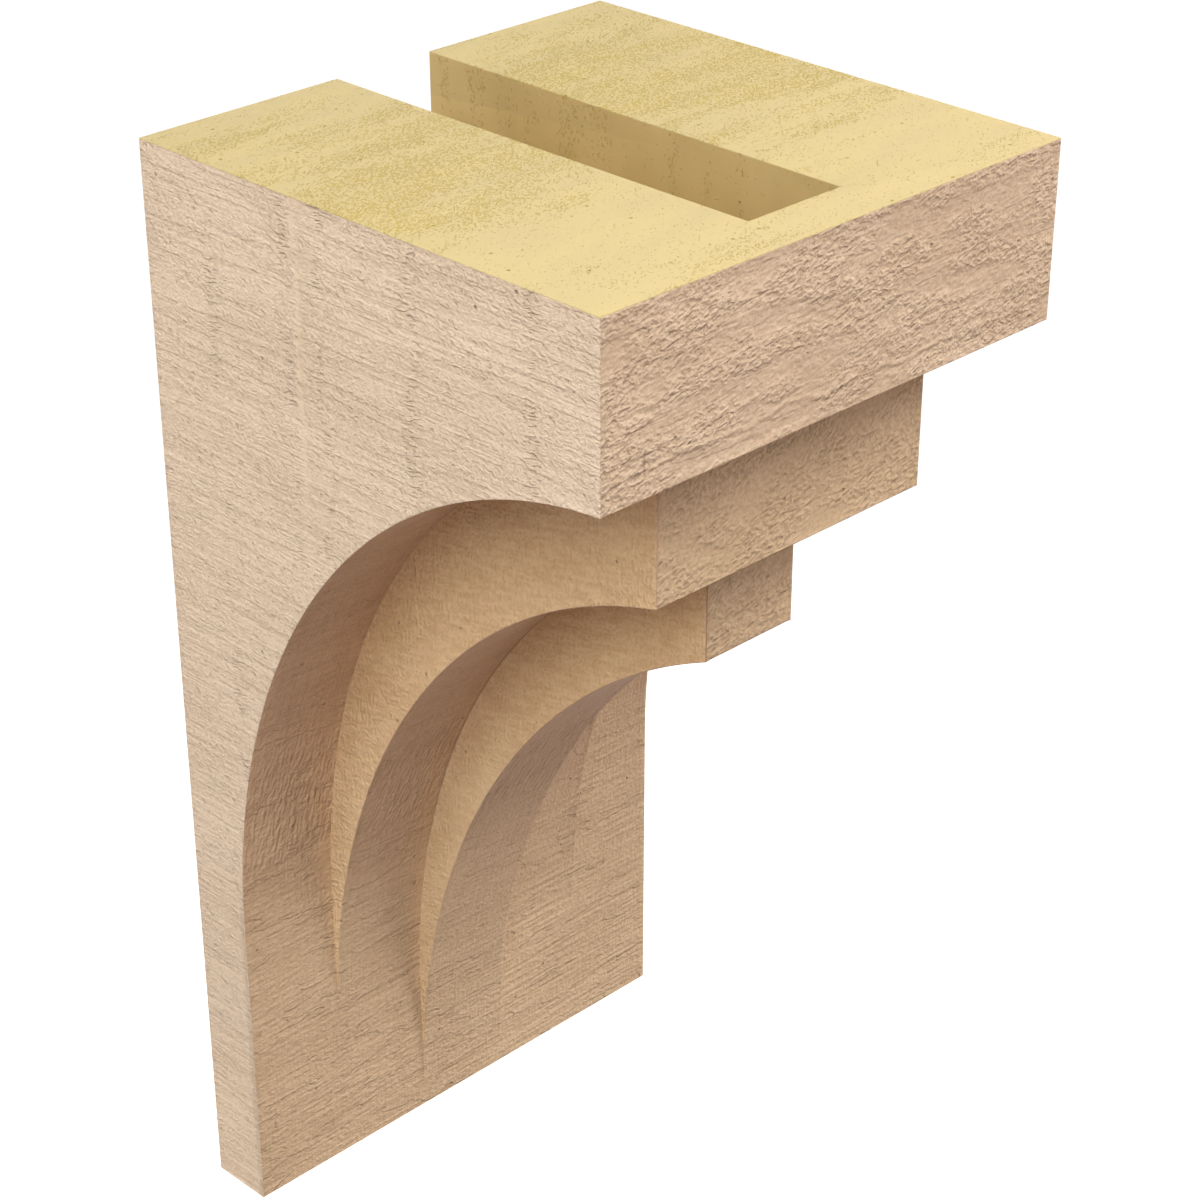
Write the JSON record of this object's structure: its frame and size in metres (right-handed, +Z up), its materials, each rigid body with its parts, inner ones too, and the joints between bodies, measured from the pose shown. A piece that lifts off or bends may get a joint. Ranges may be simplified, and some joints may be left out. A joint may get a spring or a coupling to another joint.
{
  "type": "urethane corbel",
  "caption": "Stepped wall corbel with scooped elliptical undersides and a slot in its top for a mounting block; carries a beam, shelf or soffit.",
  "frame": {"origin": "middle of the wall plate's back face, where it meets the wall", "axes": "+Z up, along the height; +Y into the wall, so the front faces -Y; +X to the right of a viewer who faces the front"},
  "size_m": [0.2032, 0.2032, 0.4064],
  "materials": {
    "primed_foam": "matt tan primer over a rough-sawn moulded texture; bare pale yellow foam on the top, in the slot and on the back"
  },
  "bodies": {
    "root": {"corbel": "primed_foam"}
  },
  "joints": []
}
